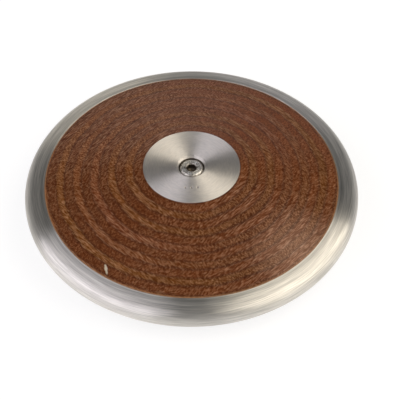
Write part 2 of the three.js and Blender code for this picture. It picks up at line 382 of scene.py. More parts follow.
def spun(sizes, outline, quarter_steps, side=1, closed=True):
    """Turn an outline of (radius, height above the middle plane, corner rounding) about the Z axis.

    Long stretches get a point near each end, so that smooth shading keeps them straight. A quarter is
    spun and then repeated, which is much faster than one full spin.
    """
    shape = bmesh.new()
    middle = sizes.half_thickness
    points = [shape.verts.new((radius, 0, middle + side * height)) for radius, height, _ in outline]
    for point, following in zip(points, points[1:] + points[:closed]):
        shape.edges.new((point, following))
    for rounding in sorted({size for _, _, size in outline if size}):
        corners = [point for point, (_, _, size) in zip(points, outline) if size == rounding]
        bmesh.ops.bevel(shape, geom=corners, offset=rounding, offset_type="OFFSET", profile=0.5,
                        segments=ROUNDING_SEGMENTS, affect="VERTICES", material=-1)
    for edge in [edge for edge in shape.edges if edge.calc_length() > 4 * HOLD]:
        near, far = edge.verts
        share = HOLD / edge.calc_length()
        rest, _ = bmesh.utils.edge_split(edge, near, share)
        remaining = [link for link in far.link_edges if link in {edge, rest}]
        bmesh.utils.edge_split(remaining[0], far, share)
    wire = shape.verts[:] + shape.edges[:]
    axis = {"cent": (0, 0, 0), "axis": (0, 0, 1), "dvec": (0, 0, 0)}
    bmesh.ops.spin(shape, geom=wire, angle=math.pi / 2, steps=quarter_steps, use_merge=False, **axis)
    quarter = shape.verts[:] + shape.edges[:] + shape.faces[:]
    bmesh.ops.spin(shape, geom=quarter, angle=3 * math.pi / 2, steps=3, use_duplicate=True, **axis)
    bmesh.ops.remove_doubles(shape, verts=shape.verts[:], dist=MERGE_DISTANCE)
    bmesh.ops.recalc_face_normals(shape, faces=shape.faces[:])
    return shape


def seen_from_above(face, middle, reach):
    """Say whether an upward face comes within reach of an upright line."""
    corners = [Vector((point.co.x, point.co.y, 0)) for point in face.verts]
    for start, end in zip(corners, corners[1:] + corners[:1]):
        _, share = intersect_point_line(middle, start, end)
        nearest = start.lerp(end, min(max(share, 0), 1))
        if (nearest - middle).length < reach:
            return face.normal.z > UPWARD
    return False


def cut_finer(shape, middle, reach, directions):
    """Cut the upward faces round an upright line, with planes across each direction.

    Each direction comes with how far its planes spread to either side.
    """
    faces = [face for face in shape.faces if seen_from_above(face, middle, reach)]
    edges = {edge for face in faces for edge in face.edges}
    points = {point for face in faces for point in face.verts}
    pieces = [*faces, *edges, *points]
    for direction, half in directions:
        for step in range(-CUT_STEPS, CUT_STEPS + 1):
            place = middle + direction * half * step / CUT_STEPS
            cut = bmesh.ops.bisect_plane(shape, geom=pieces, dist=MERGE_DISTANCE, plane_co=place,
                                         plane_no=direction)
            pieces = cut["geom"]
    return {piece for piece in pieces if isinstance(piece, bmesh.types.BMVert)}


def pin_places(sizes):
    """Space the lock pins evenly round the middle of the web, half a step from the X axis."""
    radius = sizes.wood_radius + RIM_GAP - sizes.web_depth / 2
    turns = [2 * math.pi * (step + 1 / 2) / sizes.pin_count for step in range(sizes.pin_count)]
    return [Vector((radius * math.cos(turn), radius * math.sin(turn), 0)) for turn in turns]


def make_object(name, shape):
    """Make a finished shape an object in the scene."""
    mesh = bpy.data.meshes.new(name)
    shape.to_mesh(mesh)
    shape.free()
    piece = bpy.data.objects.new(name, mesh)
    bpy.context.scene.collection.objects.link(piece)
    return piece


def drill_pin_holes(piece, sizes):
    """Cut the holes for the lock pins out of a piece."""
    cutter = bmesh.new()
    half = top_of(sizes, "lock_pin_1") + PIN_END_GAP
    hole = sizes.pin_radius + RIM_GAP
    for place in pin_places(sizes):
        stand = Matrix.Translation(place + Vector((0, 0, sizes.half_thickness)))
        bmesh.ops.create_cone(cutter, segments=4 * PIN_QUARTER_STEPS, radius1=hole, radius2=hole,
                              depth=2 * half, cap_ends=True, matrix=stand)
    drills = make_object("pin_drills", cutter)
    holes = piece.modifiers.new("Pin Holes", "BOOLEAN")
    holes.operation = "DIFFERENCE"
    holes.solver = "EXACT"
    holes.object = drills
    seen = piece.evaluated_get(bpy.context.evaluated_depsgraph_get())
    drilled = bpy.data.meshes.new_from_object(seen)
    piece.modifiers.clear()
    blank = piece.data
    piece.data = drilled
    drilled.name = piece.name
    bpy.data.meshes.remove(blank)
    bpy.data.meshes.remove(drills.data)


def rim_outline(sizes):
    """Outline the rim: rounded edge, two short cheeks and the web that the wood closes over."""
    reach = math.pi / 2 - cheek_angle(sizes)
    centre = sizes.outside_radius - sizes.edge_radius
    edge = arc(centre, 0, sizes.edge_radius, -reach, reach, EDGE_SEGMENTS)
    wall = sizes.wood_radius + RIM_GAP
    half_web = sizes.web_thickness / 2
    upper = [
        (wall, cheek_height(sizes, wall), sizes.lip_round),
        (wall, half_web, sizes.web_fillet),
        (wall - sizes.web_depth, half_web, BROKEN_EDGE),
    ]
    lower = [(radius, -height, rounding) for radius, height, rounding in reversed(upper)]
    return edge + upper + lower


def side_outline(sizes):
    """Outline a wooden side: rebated for the web, tapered outside, recessed for plate, washers and boss."""
    half_web = sizes.web_thickness / 2
    rebate = sizes.wood_radius - sizes.web_depth
    recess = sizes.plate_radius + RIM_GAP
    seat = sizes.half_thickness - sizes.flange_thickness
    pocket = sizes.washer_radius + WASHER_GAP
    pocket_floor = foot_of(sizes, "upper_ballast_washer_1")
    boss_pocket = sizes.boss_radius + HOUSING_GAP
    boss_floor = foot_of(sizes, "upper_centre_plate") - HOUSING_GAP
    bore = sizes.barrel_radius + BORE_GAP
    return [
        (bore, 0, 0),
        (rebate, 0, 0),
        (rebate, half_web, 0),
        (sizes.wood_radius, half_web, sizes.web_fillet),
        (sizes.wood_radius, cheek_height(sizes, sizes.wood_radius), 2 * BROKEN_EDGE),
        (recess, cheek_height(sizes, recess), BROKEN_EDGE),
        (recess, seat, 0),
        (pocket, seat, 0),
        (pocket, pocket_floor, 0),
        (boss_pocket, pocket_floor, 0),
        (boss_pocket, boss_floor, 0),
        (bore, boss_floor, 0),
    ]


def chip(shape, sizes):
    """Split a splinter out of the upper side's outer veneer, and mark its bed as chipped."""
    chipped = shape.verts.layers.float.new("chipped")
    middle = Vector((*sizes.chip_place, 0))
    along = Vector((math.cos(sizes.chip_direction), math.sin(sizes.chip_direction), 0))
    across = Vector((-along.y, along.x, 0))
    half_length = sizes.chip_length / 2
    half_width = sizes.chip_width / 2
    directions = ((across, CUT_SPREAD * half_width), (along, CUT_SPREAD * half_length))
    for point in cut_finer(shape, middle, CUT_SPREAD * half_length, directions):
        gone = Vector((point.co.x, point.co.y, 0)) - middle
        lengthways = gone.dot(along) / half_length
        sideways = gone.dot(across) / half_width
        fullness = CHIP_BODY + CHIP_FLARE * lengthways + CHIP_RIPPLE * math.sin(RIPPLE_TURN * lengthways)
        bulge = (1 - lengthways * lengthways) * fullness
        if bulge > 0 and abs(sideways) < bulge:
            point[chipped] = 1.0
            point.co.z -= sizes.chip_depth * math.sqrt(1 - (sideways / bulge) ** 2)


def plate_outline(sizes, pass_radius):
    """Outline a centre plate: a flange flush with the wood and a boss with the counterbore for a head."""
    boss_end = foot_of(sizes, "upper_centre_plate")
    seat = sizes.half_thickness - sizes.flange_thickness
    mouth = sizes.counterbore_radius + sizes.mouth_chamfer
    head_seat = top_of(sizes, "centre_screw") - sizes.head_height
    return [
        (pass_radius, boss_end, 0),
        (sizes.boss_radius, boss_end, BROKEN_EDGE),
        (sizes.boss_radius, seat, 0),
        (sizes.plate_radius, seat, BROKEN_EDGE),
        (sizes.plate_radius, sizes.half_thickness, sizes.plate_bevel),
        (mouth, sizes.half_thickness, BROKEN_EDGE / 2),
        (sizes.counterbore_radius, sizes.half_thickness - sizes.mouth_chamfer, 0),
        (sizes.counterbore_radius, head_seat, 0),
        (pass_radius, head_seat, 0),
    ]


def measured(shape, sizes, side):
    """Go through a shape's points, with their distance from the axis and height above the middle plane."""
    for point in shape.verts:
        yield point, math.hypot(point.co.x, point.co.y), side * (point.co.z - sizes.half_thickness)


def paint_counterbore_shade(shape, sizes, side):
    """Paint shade into the counterbore below its chamfer, where the gap round the head lies in shadow."""
    blackened = shape.verts.layers.float.new("blackened")
    level = sizes.half_thickness - sizes.mouth_chamfer - MERGE_DISTANCE
    for point, radius, height in measured(shape, sizes, side):
        if height < level and radius < sizes.counterbore_radius + MERGE_DISTANCE:
            point[blackened] = RECESS_OXIDE_AND_SHADE


def punch(shape, sizes):
    """Punch a row of small round marks into the upper plate, with painted shade in their hollows."""
    blackened = shape.verts.layers.float["blackened"]
    reach = CUT_SPREAD * sizes.mark_radius
    directions = ((Vector((0, 1, 0)), reach), (Vector((1, 0, 0)), reach))
    for step in range(sizes.mark_count):
        sideways = (step - (sizes.mark_count - 1) / 2) * sizes.mark_spacing
        mark = Vector((sideways, -sizes.mark_distance, 0))
        for point in cut_finer(shape, mark, reach, directions):
            share = (Vector((point.co.x, point.co.y, 0)) - mark).length / sizes.mark_radius
            hollow = max(0, 1 - share * share)
            point.co.z -= sizes.mark_depth * hollow
            point[blackened] = PUNCH_PAINTED_SHADE * hollow


def socket_mouth(sizes):
    """Give the radius of the small countersink round the hexagon socket's mouth."""
    return sizes.socket_width / 2 / math.cos(math.pi / 6) + BROKEN_EDGE


def head_outline(sizes):
    """Outline a head from its outer corner to the tip of the socket's drill point."""
    top = top_of(sizes, "centre_screw")
    floor = top - sizes.socket_depth
    nominal = sizes.socket_width / 2
    return [
        (sizes.head_radius, top - sizes.head_height, BROKEN_EDGE / 2),
        (sizes.head_radius, top - sizes.chamfer_depth, BROKEN_EDGE / 2),
        (sizes.head_radius - sizes.chamfer_width, top, BROKEN_EDGE / 2),
        (socket_mouth(sizes), top, 0),
        (nominal, top - BROKEN_EDGE, 0),
        (nominal, floor, 0),
        (nominal - 2 * BROKEN_EDGE, floor, 0),
        (0, floor - nominal / 3, 0),
    ]


def cut_hexagon(shape, sizes, side):
    """Move the socket's round wall out to a hexagon, under a conical mouth that its corners run into.

    The socket keeps its black oxide, and painted shade darkens the side of the head, where the gap round it
    lies in shadow.
    """
    blackened = shape.verts.layers.float.new("blackened")
    top = top_of(sizes, "centre_screw")
    floor = top - sizes.socket_depth
    flat = sizes.socket_width / 2
    for point, radius, height in measured(shape, sizes, side):
        in_socket = height > floor - flat and radius < flat + MERGE_DISTANCE
        low_on_head = height < top - sizes.chamfer_depth / 2 and radius > sizes.shank_radius
        if in_socket:
            point[blackened] = RECESS_OXIDE_AND_SHADE
        elif low_on_head:
            point[blackened] = HEAD_SIDE_PAINTED_SHADE
        elif height > floor and radius < socket_mouth(sizes) + MERGE_DISTANCE:
            point[blackened] = SOCKET_MOUTH_BLACK
        if abs(radius - flat) > MERGE_DISTANCE or height < floor - MERGE_DISTANCE:
            continue
        turn = math.atan2(point.co.y, point.co.x) % (math.pi / 3) - math.pi / 6
        reach = flat / math.cos(turn)
        point.co.x *= reach / radius
        point.co.y *= reach / radius
        if height > top - 2 * BROKEN_EDGE:
            point.co.z = sizes.half_thickness + side * (top - (socket_mouth(sizes) - reach))


def thread_rows(sizes, radius, start, end):
    """List outline points along a cylinder, close enough together to carry a thread."""
    count = math.ceil(abs(end - start) / sizes.thread_pitch * THREAD_ROWS)
    return [(radius, start + (end - start) * row / count, 0) for row in range(1, count)]


def cut_thread(shape, sizes, crest, low, high):
    """Press a right-handed thread into the points of a cylinder, fading over one turn at either end."""
    flank = 1 / 2 - HALF_CREST - HALF_ROOT
    for point, radius, height in measured(shape, sizes, 1):
        if abs(radius - crest) > MERGE_DISTANCE or not low < height < high:
            continue
        turn = math.atan2(point.co.y, point.co.x) / (2 * math.pi)
        from_crest = abs((height / sizes.thread_pitch - turn) % 1 - 1 / 2)
        share = min(max((from_crest - HALF_CREST) / flank, 0), 1)
        fade = min(1, (height - low) / sizes.thread_pitch, (high - height) / sizes.thread_pitch)
        reach = crest - share * fade * sizes.thread_depth
        point.co.x *= reach / radius
        point.co.y *= reach / radius


def screw_outline(sizes):
    """Outline the screw from the end of its shank to its socket."""
    head = head_outline(sizes)
    end = foot_of(sizes, "centre_screw")
    chamfer = sizes.shank_radius / 5
    shank = [
        (0, end, 0),
        (sizes.shank_radius - chamfer, end, 0),
        (sizes.shank_radius, end + chamfer, 0),
        *thread_rows(sizes, sizes.shank_radius, end + chamfer, head[0][1]),
        (sizes.shank_radius, head[0][1], BROKEN_EDGE),
    ]
    return shank + head


def sleeve_outline(sizes):
    """Outline the sleeve nut, drawn head up: blind threaded bore, thin barrel and the same head."""
    head = head_outline(sizes)
    mouth = -top_of(sizes, "sleeve_nut")
    bore = sizes.shank_radius + THREAD_GAP
    bore_end = sizes.shank_radius - foot_of(sizes, "centre_screw")
    barrel = [
        (0, bore_end + bore / 2, 0),
        (bore, bore_end, 0),
        *thread_rows(sizes, bore, bore_end, mouth),
        (bore, mouth, 0),
        (sizes.barrel_radius, mouth, BROKEN_EDGE),
        (sizes.barrel_radius, head[0][1], BROKEN_EDGE),
    ]
    return barrel + head


def place_piece(name, shape, material, node):
    """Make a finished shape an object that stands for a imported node."""
    piece = make_object(name, shape)
    piece.data.shade_smooth()
    piece.data.set_sharp_from_angle(angle=SHARP_ANGLE)
    piece.data.materials.append(material)
    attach(piece, "root")
    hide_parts(node)
    return piece


def add_node(tree, kind, feeds=(), operation=None, output=None, **settings):
    """Add a node with its settings, link or fill its inputs by name or in order, and give an output."""
    node = tree.nodes.new("ShaderNode" + kind)
    if operation:
        node.operation = operation
    for name, value in settings.items():
        setattr(node, name, value)
    if not isinstance(feeds, dict):
        in_use = [place for place, socket in enumerate(node.inputs) if socket.enabled]
        feeds = dict(zip(in_use, feeds))
    for key, value in feeds.items():
        socket = node.inputs[key]
        if isinstance(value, bpy.types.NodeSocket):
            tree.links.new(value, socket)
        else:
            socket.default_value = (*value, 1) if socket.type == "RGBA" else value
    if output:
        return node.outputs[output]
    return next((socket for socket in node.outputs if socket.enabled), None)


def new_material(name):
    """Start a material with no nodes, and give it with the function that adds them."""
    material = bpy.data.materials.new(name)
    material.use_nodes = True
    material.node_tree.nodes.clear()
    return material, partial(add_node, material.node_tree)


def measure_place(add):
    """Give each place on the discus, how far and which way it lies from the axis, and the way of its cut."""
    place = add("TexCoord", output="Object")
    flat = add("VectorMath", [place, (1, 1, 0)], "MULTIPLY")
    return SimpleNamespace(
        place=place,
        from_axis=add("VectorMath", [flat], "LENGTH"),
        heading=add("VectorMath", [flat], "NORMALIZE"),
        along_cut=add("VectorMath", [(0, 0, 1), place], "CROSS_PRODUCT"),
    )


def turning_marks(add, at, pitch, sweep):
    """Draw tool marks that run round the axis: fine across the cut, and changing slowly along it."""
    height = add("SeparateXYZ", [at.place], output="Z")
    cosine = add("SeparateXYZ", [at.heading], output="X")
    sine = add("SeparateXYZ", [at.heading], output="Y")
    measures = ((at.from_axis, 1 / pitch), (height, 1 / pitch), (cosine, sweep), (sine, sweep))
    *round_axis, fourth = [add("Math", pair, "MULTIPLY") for pair in measures]
    place = add("CombineXYZ", round_axis)
    return add("TexNoise", {"Vector": place, "W": fourth, "Scale": 1, "Detail": 3}, noise_dimensions="4D")


def turned_steel(finish, kind, zones=()):
    """Bare steel with lathe marks: they spread a highlight across the cut into streaks and bow ties.

    Each zone (from radius, to radius, tone inside, tone outside) grades the brightness outwards.
    """
    steel = STEELS[kind]
    material, add = new_material(steel.name)
    at = measure_place(add)
    fine = turning_marks(add, at, steel.pitch, FINE_SWEEP)
    broad = turning_marks(add, at, BROAD_PITCHES * steel.pitch, BROAD_SWEEP)
    grades = [(at.from_axis, *zone) for zone in zones]
    for marks, contrast in ((fine, steel.contrast), (broad, steel.contrast * BROAD_CONTRAST)):
        grades.append((marks, *NOISE_RANGE, 1 - contrast, 1 + contrast))
    tone = 1
    for grade in grades:
        tone = add("Math", [tone, add("MapRange", grade)], "MULTIPLY")
    toned = add("VectorMath", [getattr(finish, kind), tone], "SCALE")
    # Black oxide in the socket, and painted shade in the counterbore, on the head's side and in the punch
    # marks.
    blackened = add("Attribute", output="Fac", attribute_name="blackened")
    tint = add("Mix", [blackened, toned, finish.blackened], data_type="RGBA")
    polish = [steel.roughness * (1 + change) for change in (-POLISH_SPREAD, POLISH_SPREAD)]
    shader = add("BsdfPrincipled", {
        "Base Color": tint, "Metallic": 1, "Roughness": add("MapRange", [broad, *NOISE_RANGE, *polish]),
        "Anisotropic": steel.anisotropy, "Anisotropic Rotation": STRETCH_TURN, "Tangent": at.along_cut,
        "Normal": add("Bump", {"Strength": STEEL_BUMP, "Distance": MARK_DEPTH, "Height": fine})})
    add("OutputMaterial", {"Surface": shader})
    return material


def count_veneers(add, wood, finish, sizes):
    """Find the pair of veneers at each place, how far up in it the place is, and whether that is ochre."""
    upwards = add("SeparateXYZ", [wood.place], output="Z")
    from_middle = add("Math", [upwards, sizes.half_thickness], "SUBTRACT")
    level = add("Math", [from_middle], "ABSOLUTE")
    torn_place = add("Mapping", [wood.place, (0, 0, 0), OCHRE_TURN, TORN_SIZE], vector_type="TEXTURE")
    for place, scale, rise in ((wood.place, 1 / WAVE_LENGTH, WAVE_HEIGHT), (torn_place, 1, TORN_HEIGHT)):
        noise = add("TexNoise", {"Vector": place, "Scale": scale, "Detail": 2})
        shift = add("MapRange", [noise, *NOISE_RANGE, -rise, rise])
        level = add("Math", [level, shift], "ADD")
    pair = finish.ochre_thickness + finish.brown_thickness
    counted = add("Math", [level, finish.first_glue_line], "SUBTRACT")
    stack = add("Math", [counted, pair], "DIVIDE")
    wood.number = add("Math", [stack], "FLOOR")
    wood.inside = add("Math", [stack], "FRACT")
    wood.is_ochre = add("Math", [wood.inside, finish.ochre_thickness / pair], "LESS_THAN")


def lay_fibres(add, wood):
    """Draw the fibres, streaks, pores and bands, and find how the fibres lie in the surface."""
    brown_grain, ochre_grain = [
        add("Mapping", [wood.place, (0, 0, 0), turn, FIBRE_SIZE], vector_type="TEXTURE")
        for turn in (BROWN_TURN, OCHRE_TURN)]
    grain = add("Mix", [wood.is_ochre, brown_grain, ochre_grain], data_type="VECTOR")
    offset = add("VectorMath", [NEXT_PAIR, wood.number], "SCALE")
    along = add("VectorMath", [grain, offset], "ADD")
    for name, (density, detail) in WOOD_PATTERNS.items():
        place = add("VectorMath", [along, density], "MULTIPLY")
        setattr(wood, name, add("TexNoise", {"Vector": place, "Scale": 1, "Detail": detail}))

    # From 0, where the fibres run straight into the surface, to 1, where they lie in it.
    half = math.sqrt(1 / 2)
    slant = add("Mix", [wood.is_ochre, (half, -half, 0), (half, half, 0)], data_type="VECTOR")
    facing = add("VectorMath", [wood.heading, slant], "DOT_PRODUCT")
    wood.lying = add("Math", [facing], "ABSOLUTE")

    # Fibres that lie in the surface show as long streaks, and those that run into it as specks.
    drawn_out = add("MapRange", [wood.lying, *DRAWN_OUT])
    strands = add("Mix", [drawn_out, wood.fibres, wood.streaks], data_type="FLOAT")
    specks = add("TexNoise", {"Vector": wood.place, "Scale": 1 / SPECK_SIZE, "Detail": 0})
    speck_share = add("MapRange", [wood.lying, *SPECK_SHARE])
    wood.broken = add("Mix", [speck_share, strands, specks], data_type="FLOAT")

    # Single fibres stand out, fewer of them where a brown veneer is cut across.
    wood.standing = add("MapRange", [wood.broken, *STANDING])
    brown_standing = add("MapRange", [wood.lying, *BROWN_STANDING])
    seen = add("Mix", [wood.is_ochre, brown_standing, 1], data_type="FLOAT")
    wood.pale = add("Math", [wood.standing, seen], "MULTIPLY")


def stain_veneers(add, wood, finish):
    """Stain the veneers, lighter where their fibres lie in the surface, partly as end grain takes more stain
    and partly as a painted sheen. Grade them with painted sheen, shade and light round the axis, and with
    their stain.
    """
    turned = add("Math", [wood.number, COLOUR_SWING], "MULTIPLY")
    golden = add("MapRange", [add("Math", [turned], "COSINE"), -1, 1, 0, 1])
    light = add("Mix", [golden, finish.rosy_light, finish.ochre_light], data_type="RGBA")
    # Lighter where the fibres lie in the surface: end grain takes more stain, and a painted sheen of the
    # fibres.
    ochre = add("Mix", [wood.lying, finish.ochre_dark, light], data_type="RGBA")
    brown = add("Mix", [wood.lying, finish.brown_dark, finish.brown_light], data_type="RGBA")
    veneer = add("Mix", [wood.is_ochre, brown, ochre], data_type="RGBA")
    stained = add("VectorMath", [wood.heading, STAINED_SIDE], "DOT_PRODUCT")
    ochre_grades = [add("MapRange", [wood.lean, *OCHRE_SIDE_SHEEN]), add("MapRange", [stained, *OCHRE_STAIN])]
    ochre_tone = add("Math", ochre_grades, "MULTIPLY")
    brown_grades = [add("MapRange", [wood.lean, *BROWN_SIDE_SHADE]), add("MapRange", [wood.backwards, *BROWN_BACK_LIGHT])]
    brown_tone = add("Math", brown_grades, "ADD")
    tone = add("Mix", [wood.is_ochre, brown_tone, ochre_tone], data_type="FLOAT")
    for source, grade in ((wood.broken, FIBRE_TONE), (wood.bands, BAND_TONE)):
        tone = add("Math", [tone, add("MapRange", [source, *grade])], "MULTIPLY")
    return add("VectorMath", [veneer, tone], "SCALE")


def fibre_shares_with_sheen(add, wood):
    """Give the shares of the pale fibres, of the long streaks and of the open pores.

    The pale fibres and streaks carry a painted sheen: strongest all over the front, and least at the back
    right.
    """
    raised_lean = add("MapRange", [wood.lean, *FIBRE_SIDE_SHEEN])
    fibre_sheen = add("MapRange", [wood.backwards, *FIBRE_FRONT_SHEEN, raised_lean])
    fibre_share = add("Math", [wood.pale, fibre_sheen], "MULTIPLY")
    sheen_lying = add("Math", [fibre_sheen, wood.lying], "MULTIPLY")
    streak_share = add("Math", [add("MapRange", [wood.streaks, *STREAK_SHARE]), sheen_lying], "MULTIPLY")
    return fibre_share, streak_share, add("MapRange", [wood.pores, *PORE_SHARE])


def draw_glue(add, wood, finish):
    """Give the share of the glue lines, at the joint within a pair of veneers and at its ends.

    Pale fibres cross them. The ends carry painted shade, darkest at the front right.
    """
    joint = finish.ochre_thickness / (finish.ochre_thickness + finish.brown_thickness)
    from_joint = add("Math", [add("Math", [wood.inside, joint], "SUBTRACT")], "ABSOLUTE")
    joint_share = add("MapRange", [from_joint, *JOINT_SHARE])
    from_end = add("Math", [wood.inside, 1 / 2], "PINGPONG")
    end_shades = [add("MapRange", [wood.backwards, *END_FRONT_SHADE]), add("MapRange", [wood.lean, *END_SIDE_SHADE])]
    end_share = add("MapRange", [from_end, *END_WIDTH, add("Math", end_shades, "MULTIPLY"), 0])
    line_share = add("Math", [joint_share, end_share], "MAXIMUM")
    return add("Math", [line_share, add("MapRange", [wood.pale, *UNCROSSED])], "MULTIPLY")


def wear_and_painted_sheen(add, wood, finish, sizes):
    """Give the shares of the pale outer corner, of the painted highlight of the warm lamp, and of the painted
    sheen at the back.
    """
    start, end = (sizes.wood_radius - depth for depth in CORNER_DEPTHS)
    corner_share = add("MapRange", [wood.from_axis, start, end, 0, CORNER_PALE])
    reach = sizes.wood_radius * SHEEN_PATCH_RADIUS
    turn = finish.sheen_patch_direction
    sheen_patch_place = (reach * math.cos(turn), reach * math.sin(turn), sizes.half_thickness)
    from_sheen_patch = add("VectorMath", [wood.place, sheen_patch_place], "DISTANCE")
    sheen_patch_share = add("MapRange", [from_sheen_patch, *SHEEN_PATCH_SHARE])
    sheen_patch_fibres = add("Math", [sheen_patch_share, add("MapRange", [wood.pale, *UNVEILED])], "MULTIPLY")
    return corner_share, sheen_patch_fibres, add("MapRange", [wood.backwards, *BACK_SHEEN_SHARE])


def laminated_hardwood(finish, sizes):
    """Turned stack of stained veneers under lacquer: rings where the taper cuts through the veneers.

    The lacquer gleams on fibres that lie in the surface. Where it has chipped off, the wood is pale and dull.
    """
    material, add = new_material("lacquered_laminated_hardwood")
    wood = measure_place(add)
    # Towards the side of the painted sheen, and towards the back.
    wood.lean = add("VectorMath", [wood.heading, SHEEN_SIDE], "DOT_PRODUCT")
    wood.backwards = add("SeparateXYZ", [wood.heading], output="Y")
    count_veneers(add, wood, finish, sizes)
    lay_fibres(add, wood)
    fibre_share, streak_share, pore_share = fibre_shares_with_sheen(add, wood)
    corner_share, sheen_patch_share, back_sheen_share = wear_and_painted_sheen(add, wood, finish, sizes)
    chipped = add("Attribute", output="Fac", attribute_name="chipped")
    # Layers over the veneers: pale fibres and streaks with a painted sheen, pores, glue lines with painted
    # shade at their ends, the pale corner, the painted highlight of the warm lamp, the painted sheen at the
    # back, and bare wood.
    layers = (
        (fibre_share, finish.fibre),
        (streak_share, finish.fibre),
        (pore_share, finish.glue),
        (draw_glue(add, wood, finish), finish.glue),
        (corner_share, finish.fibre),
        (sheen_patch_share, finish.painted_sheen_patch),
        (back_sheen_share, finish.painted_back_sheen),
        (chipped, finish.bare_wood),
    )
    surface = stain_veneers(add, wood, finish)
    for share, layer in layers:
        surface = add("Mix", [share, surface, layer], data_type="RGBA")
    cut = turning_marks(add, wood, WOOD_PITCH, WOOD_SWEEP)
    relief = add("Math", [wood.fibres, cut], "ADD")
    gleaming = add("Math", [wood.standing, wood.lying], "MULTIPLY")
    shader = add("BsdfPrincipled", {
        "Base Color": surface, "Roughness": add("MapRange", [chipped, *ROUGHNESS]), "IOR": LACQUER_IOR,
        "Specular IOR Level": add("MapRange", [gleaming, *GLOSS]), "Anisotropic": LACQUER_ANISOTROPY,
        "Anisotropic Rotation": STRETCH_TURN, "Tangent": wood.along_cut,
        "Normal": add("Bump", {"Strength": WOOD_BUMP, "Distance": MARK_DEPTH, "Height": relief})})
    add("OutputMaterial", {"Surface": shader})
    return material


class DISCUS_OT_rim(bpy.types.Operator):
    """Turn the steel rim"""

    bl_idname = "discus.rim"
    bl_label = "Steel Rim"

    def execute(self, context):
        sizes = context.scene.discus_sizes
        edge = sizes.outside_radius - sizes.edge_radius
        # A painted highlight on the lip, painted shade on the cheek next to the wood, and darker steel
        # towards the edge.
        tones = ((sizes.wood_radius, LIP_HIGHLIGHT), (sizes.wood_radius, CHEEK_SHADE),
                 (edge, SHOULDER_TONE), (edge, EDGE_TONE))
        zones = [(start + gap, start + gap + width, inside, outside)
                 for start, (gap, width, inside, outside) in tones]
        steel = turned_steel(context.scene.discus_finish, "rim", zones)
        shape = spun(sizes, rim_outline(sizes), QUARTER_STEPS)
        ring = place_piece("steel_rim", shape, steel, "rim")
        drill_pin_holes(ring, sizes)
        return {"FINISHED"}


class DISCUS_OT_wooden_sides(bpy.types.Operator):
    """Turn the two laminated wooden sides"""

    bl_idname = "discus.wooden_sides"
    bl_label = "Wooden Sides"

    def execute(self, context):
        sizes = context.scene.discus_sizes
        wood = laminated_hardwood(context.scene.discus_finish, sizes)
        for name, side in SIDES.items():
            shape = spun(sizes, side_outline(sizes), QUARTER_STEPS, side)
            if name == "upper":
                chip(shape, sizes)
            piece = place_piece(f"{name}_wooden_side", shape, wood, f"{name}_side")
            drill_pin_holes(piece, sizes)
        return {"FINISHED"}


class DISCUS_OT_centre_plates(bpy.types.Operator):
    """Turn the two steel centre plates"""

    bl_idname = "discus.centre_plates"
    bl_label = "Centre Plates"

    def execute(self, context):
        sizes = context.scene.discus_sizes
        steel = turned_steel(context.scene.discus_finish, "plate")
        passes = {"upper": sizes.shank_radius + HOUSING_GAP, "lower": sizes.barrel_radius + HOUSING_GAP}
        for name, side in SIDES.items():
            shape = spun(sizes, plate_outline(sizes, passes[name]), QUARTER_STEPS, side)
            paint_counterbore_shade(shape, sizes, side)
            if name == "upper":
                punch(shape, sizes)
            place_piece(f"{name}_steel_plate", shape, steel, f"{name}_centre_plate")
        return {"FINISHED"}


class DISCUS_OT_screw_and_sleeve(bpy.types.Operator):
    """Turn the centre screw and the sleeve nut, and cut their hexagon sockets"""

    bl_idname = "discus.screw_and_sleeve"
    bl_label = "Screw and Sleeve Nut"

    def execute(self, context):
        sizes = context.scene.discus_sizes
        steel = turned_steel(context.scene.discus_finish, "screw")
        screw = spun(sizes, screw_outline(sizes), HUB_QUARTER_STEPS, closed=False)
        sleeve = spun(sizes, sleeve_outline(sizes), HUB_QUARTER_STEPS, -1, closed=False)
        seat = top_of(sizes, "centre_screw") - sizes.head_height
        tip = foot_of(sizes, "centre_screw")
        cut_thread(screw, sizes, sizes.shank_radius, tip, seat - sizes.thread_pitch)
        cut_thread(sleeve, sizes, sizes.shank_radius + THREAD_GAP, tip - sizes.shank_radius,
                   top_of(sizes, "sleeve_nut"))
        cut_hexagon(screw, sizes, 1)
        cut_hexagon(sleeve, sizes, -1)
        place_piece("socket_screw", screw, steel, "centre_screw")
        place_piece("threaded_sleeve", sleeve, steel, "sleeve_nut")
        return {"FINISHED"}


class DISCUS_OT_ballast_washers(bpy.types.Operator):
    """Turn the ballast washers under each centre plate"""

    bl_idname = "discus.ballast_washers"
    bl_label = "Ballast Washers"

    def execute(self, context):
        sizes = context.scene.discus_sizes
        steel = turned_steel(context.scene.discus_finish, "washer")
        bore = sizes.boss_radius + WASHER_GAP
        for node in [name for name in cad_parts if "ballast_washer" in name]:
            low = foot_of(sizes, node)
            high = top_of(sizes, node)
            outline = [(bore, low), (sizes.washer_radius, low), (sizes.washer_radius, high), (bore, high)]
            shape = spun(sizes, [(*corner, BROKEN_EDGE) for corner in outline], HUB_QUARTER_STEPS)
            place_piece(node.replace("ballast", "steel_ballast"), shape, steel, node)
        return {"FINISHED"}


class DISCUS_OT_lock_pins(bpy.types.Operator):
    """Turn the pins that lock the rim's web to the wooden sides"""

    bl_idname = "discus.lock_pins"
    bl_label = "Lock Pins"

    def execute(self, context):
        sizes = context.scene.discus_sizes
        steel = turned_steel(context.scene.discus_finish, "pin")
        half = top_of(sizes, "lock_pin_1")
        radius = sizes.pin_radius
        chamfer = 2 * BROKEN_EDGE
        outline = [(0, -half, 0), (radius, -half, chamfer), (radius, half, chamfer), (0, half, 0)]
        for step, place in enumerate(pin_places(sizes), start=1):
            shape = spun(sizes, outline, PIN_QUARTER_STEPS, closed=False)
            bmesh.ops.translate(shape, verts=shape.verts[:], vec=place)
            place_piece(f"steel_lock_pin_{step}", shape, steel, f"lock_pin_{step}")
        return {"FINISHED"}


